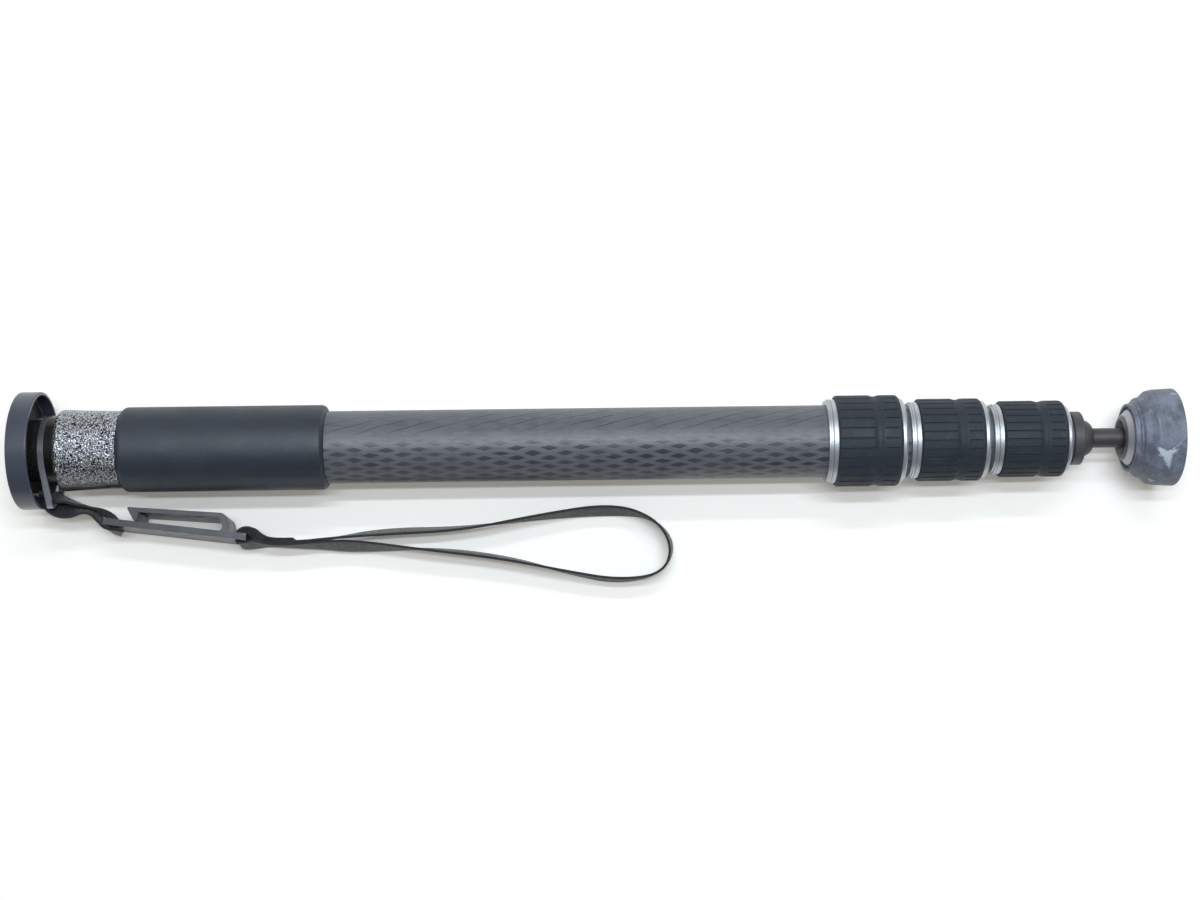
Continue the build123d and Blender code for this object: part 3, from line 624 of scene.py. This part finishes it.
def tape(name, material, line, sides, slant=0.0):
    """Webbing along a line. sides holds a vector across it for each point of the line, and slant is how
    far its first end is cut back from one edge to the other."""
    section = tape_section()
    mesh = bpy.data.meshes.new(name)
    made = bmesh.new()
    along_layer = made.verts.layers.float.new("along")
    across_layer = made.verts.layers.float.new("across")
    rings = []
    travelled = 0.0
    for index, (place, side) in enumerate(zip(line, sides)):
        before = line[max(index - 1, 0)]
        after = line[min(index + 1, len(line) - 1)]
        travelled += (place - before).length
        forward = (after - before).normalized()
        across = (side - forward * side.dot(forward)).normalized()
        out = forward.cross(across)
        ring = []
        for u, v in section:
            cut = max(slant * (0.5 - u / WEB_WIDTH) - travelled, 0.0)
            vertex = made.verts.new(place + across * u + out * v + forward * cut)
            vertex[along_layer] = travelled + cut
            vertex[across_layer] = u
            ring.append(vertex)
        rings.append(ring)
    count = len(section)
    for low, high in zip(rings, rings[1:]):
        for n in range(count):
            made.faces.new((low[n], low[(n + 1) % count], high[(n + 1) % count], high[n]))
    made.faces.new(list(reversed(rings[0])))
    made.faces.new(rings[-1])
    bmesh.ops.remove_doubles(made, verts=made.verts, dist=WELD)
    bmesh.ops.recalc_face_normals(made, faces=made.faces)
    for face in made.faces:
        face.smooth = True
    made.to_mesh(mesh)
    made.free()
    mesh.materials.append(material)
    piece = link(bpy.data.objects.new(name, mesh))
    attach(piece, "strap")
    return piece


# The loop's low edge stands EYE_LOW_EDGE over the floor at EYE_X, in the clip, and slopes down to
# LOOP_FLOOR_GAP over it at LOOP_FLOOR_X
EYE_X = 0.1112
EYE_LOW_EDGE = 0.0064
LOOP_FLOOR_X = 0.330
LOOP_FLOOR_GAP = 0.0002

# The loop's route, from above: X, Y, how the row's lean is counted, and the lean in degrees. A row near
# the eye gives how far the top edge leans towards +Y, and a row of the laid part how far it leans to the
# left of the way that the route goes.
EYE = "eye"
LAID = "laid"
LOOP_ROUTE = [
    (0.1356, -0.0478, EYE, 8.0),
    (0.1254, -0.0480, EYE, 8.0),
    (0.1199, -0.0474, EYE, 20.0),
    (0.1152, -0.0450, EYE, 31.0),
    (0.1105, -0.0431, EYE, 23.0),
    (0.1066, -0.0452, EYE, 15.0),
    (0.1070, -0.0503, EYE, 15.0),
    (0.1112, -0.0502, EYE, 16.0),
    (0.1160, -0.0495, EYE, 19.0),
    (0.1220, -0.0503, EYE, 6.0),
    (0.1357, -0.0508, EYE, 9.0),
    (0.1500, -0.0506, EYE, 17.0),
    (0.1659, -0.0513, LAID, 26.0),
    (0.2059, -0.0535, LAID, -2.0),
    (0.2439, -0.0583, LAID, -3.0),
    (0.2779, -0.0668, LAID, 8.0),
    (0.3039, -0.0719, LAID, 12.0),
    (0.3269, -0.0679, LAID, 3.0),
    (0.3329, -0.0529, LAID, 9.0),
    (0.3224, -0.0385, LAID, -2.0),
    (0.3004, -0.0337, LAID, -24.0),
    (0.2629, -0.0373, LAID, -10.0),
    (0.2229, -0.0433, LAID, 3.0),
    (0.1809, -0.0441, LAID, 9.0),
    (0.1530, -0.0474, EYE, 4.0),
    (0.1400, -0.0489, EYE, 5.0),
    (0.1222, -0.0491, EYE, 6.0),
]


def loop_low_edge(x):
    """Height of the webbing's low edge: it slopes from the clip down to the floor."""
    share = max(0.0, min(1.0, (LOOP_FLOOR_X - x) / (LOOP_FLOOR_X - EYE_X)))
    return FLOOR_Z + LOOP_FLOOR_GAP + share * EYE_LOW_EDGE


def wrist_loop(material):
    sides = []
    points = []
    for index, (x, y, kind, tilt) in enumerate(LOOP_ROUTE):
        lean_to = Vector((0, 1, 0))
        if kind == LAID:
            before = LOOP_ROUTE[index - 1]
            after = LOOP_ROUTE[index + 1]
            way = Vector((after[0] - before[0], after[1] - before[1], 0)).normalized()
            lean_to = Vector((-way.y, way.x, 0))
        side = Vector((0, 0, 1)) * math.cos(math.radians(tilt)) + lean_to * math.sin(math.radians(tilt))
        sides.append(side)
        points.append(Vector((x, y, loop_low_edge(x) + side.z * WEB_WIDTH / 2)))
    line = smooth_line(points)
    tips = smooth_line([point + side * WEB_WIDTH for point, side in zip(points, sides)])
    piece = tape("wrist_loop", material, line, [tip - place for tip, place in zip(tips, line)])
    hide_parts("strap_loop")


# The tab's route at half the webbing's height, from the cut end of its tail under the clip, round the
# ring's bar and back through the clip's near slot. The last number is its lean in degrees: how far its
# top edge leans towards +Y. TAB_SLANT is how far the cut end runs askew.
TAB_SLANT = 0.005
TAB_ROUTE = [
    (0.0490, -0.0438, -0.0150, 16.0),
    (0.0440, -0.0428, -0.0150, 14.0),
    (0.0390, -0.0413, -0.0148, 11.0),
    (0.0350, -0.0356, -0.0142, 3.0),
    (0.0318, -0.0316, -0.0132, -4.0),
    (0.0262, -0.0309, -0.0120, -8.0),
    (0.0210, -0.0308, -0.0105, -28.0),
    (0.0155, -0.0300, -0.0092, -31.0),
    (0.0108, -0.0265, -0.0095, -22.0),
    (0.0110, -0.0238, -0.0093, -20.0),
    (0.0150, -0.0240, -0.0094, -14.0),
    (0.0182, -0.0253, -0.0106, -1.0),
    (0.0240, -0.0277, -0.0118, 2.0),
    (0.0300, -0.0294, -0.0134, 6.0),
    (0.0362, -0.0322, -0.0150, 21.0),
    (0.0425, -0.0350, -0.0156, 19.0),
    (0.0457, -0.0374, -0.0158, 10.5),
    (0.0440, -0.0396, -0.0158, 10.5),
    (0.0420, -0.0409, -0.0155, 10.5),
    (0.0398, -0.0404, -0.0152, 10.5),
]


def strap_tab(material):
    places = [Vector(row[:3]) for row in TAB_ROUTE]
    leans = [math.radians(row[3]) for row in TAB_ROUTE]
    line = smooth_line(places)
    edges = [Vector((0, math.sin(lean), math.cos(lean))) * WEB_WIDTH for lean in leans]
    tips = smooth_line([place + edge for place, edge in zip(places, edges)])
    sides = [tip - place for tip, place in zip(tips, line)]
    piece = tape("strap_webbing", material, line, sides, TAB_SLANT)
    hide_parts("strap_tab")


WEBBING = webbing()
wrist_loop(WEBBING)
strap_tab(WEBBING)

# Finishes of the carried-over nodes
STEEL = plain_steel()
RUBBER = soft_rubber()
SILVER = turned_silver()
NYLON = natural_nylon()
LOCK_RUBBER = lock_rubber()
FINISHES = {
    "camera_plate": anodised_black(),
    "plate_pad": RUBBER,
    "plate_grub_screws": STEEL,
    "camera_screw": STEEL,
    "plate_hub": hub_black(),
    "hub_grub_screw": STEEL,
    "top_casting": hammertone(),
    "hand_grip": grip_foam(),
    "strap_ring": ring_steel(),
    "strap_clip": clip_plastic(),
    "tip_plug": dark_plug(),
    "foot_stem": stem_metal(),
    "ball_ring": satin_silver(),
    "ball_cup": shaded_cup_brown(),
    "rubber_foot": foot_rubber(),
}
for number, radius in enumerate(TUBE_RADII, start=1):
    FINISHES[f"leg_tube_{number}"] = carbon(f"carbon_{number}", radius)
for number in LOCKS:
    FINISHES[f"lock_{number}_collar"] = SILVER
    FINISHES[f"lock_{number}_sleeve"] = SILVER
    FINISHES[f"lock_{number}_grip"] = LOCK_RUBBER
    FINISHES[f"lock_{number}_seal"] = RUBBER
    FINISHES[f"lock_{number}_wedge"] = NYLON
    FINISHES[f"glide_{number}"] = NYLON
for name, material in FINISHES.items():
    node = frame["nodes"][name]
    node.data.materials.clear()
    node.data.materials.append(material)
    for face in node.data.polygons:
        face.material_index = 0

# Floor: half its side, its two tones, and the glow that lifts it to white where it is seen
FLOOR_REACH = 3.0
PAPER_TONES = ((0.965, 0.945, 0.915), (0.98, 0.965, 0.935))
PAPER_GLOW = (1.0, 0.985, 0.955)
PAPER_LIFT = 0.16

# Room light: its colour, and its strength at the -Y side and at the +Y side
ROOM_COLOUR = (1.0, 0.945, 0.80)
ROOM_SIDE = 0.9
ROOM_NEAR = 0.10
ROOM_FAR = 0.46

# Lamps: long strips along X. Each has an angle off the vertical towards +Y, and a power in watts.
LAMP_DISTANCE = 2.2
LAMP_X = 0.42
LAMP_LENGTH = 1.4
LAMP_WIDTH = 0.08
LAMP_COLOUR = (0.84, 0.92, 1.0)
LAMPS = (
    ("near_strip", 6.5, 16.5),
    ("middle_strip", 16.5, 18.0),
    ("far_strip", 34.0, 10.0),
)


def make_floor():
    mesh = bpy.data.meshes.new("floor")
    corners = [(-1, -1), (1, -1), (1, 1), (-1, 1)]
    places = [(x * FLOOR_REACH, y * FLOOR_REACH, FLOOR_Z) for x, y in corners]
    mesh.from_pydata(places, [], [(0, 1, 2, 3)])
    finish = Finish("paper_floor", Roughness=0.9, Specular_IOR_Level=0.0)
    cloud = finish.noise(finish.place(), 6.0, detail=3.0)
    finish.colour(finish.blend(cloud, *PAPER_TONES))
    seen = None
    for kind in ("Camera", "Glossy", "Transmission"):
        seen = finish.most(seen, finish.node("LightPath", {}, {}, f"Is {kind} Ray"))
    finish.feed(finish.shader.inputs["Emission Strength"], finish.times(seen, PAPER_LIFT))
    finish.feed(finish.shader.inputs["Emission Color"], PAPER_GLOW)
    mesh.materials.append(finish.material)
    link(bpy.data.objects.new("floor", mesh))


def make_world():
    """A warm room, brighter on the +Y side than on the other."""
    world = bpy.data.worlds.new("room")
    world.use_nodes = True
    nodes = world.node_tree.nodes
    links = world.node_tree.links
    background = nodes["Background"]
    background.inputs["Color"].default_value = (*ROOM_COLOUR, 1.0)
    split = nodes.new("ShaderNodeSeparateXYZ")
    links.new(nodes.new("ShaderNodeTexCoord").outputs["Generated"], split.inputs[0])
    level = nodes.new("ShaderNodeMapRange")
    links.new(split.outputs["Y"], level.inputs["Value"])
    level.inputs["From Min"].default_value = -ROOM_SIDE
    level.inputs["From Max"].default_value = ROOM_SIDE
    level.inputs["To Min"].default_value = ROOM_NEAR
    level.inputs["To Max"].default_value = ROOM_FAR
    links.new(level.outputs["Result"], background.inputs["Strength"])
    scene.world = world


def make_lamp(name, angle, power):
    data = bpy.data.lights.new(name, "AREA")
    data.shape = "RECTANGLE"
    data.size = LAMP_LENGTH
    data.size_y = LAMP_WIDTH
    data.energy = power
    data.color = LAMP_COLOUR
    lamp = link(bpy.data.objects.new(name, data))
    tilt = math.radians(angle)
    lamp.location = (LAMP_X, LAMP_DISTANCE * math.sin(tilt), LAMP_DISTANCE * math.cos(tilt))
    lamp.rotation_euler = (-tilt, 0, 0)


make_floor()
make_world()
for lamp_name, lamp_angle, lamp_power in LAMPS:
    make_lamp(lamp_name, lamp_angle, lamp_power)
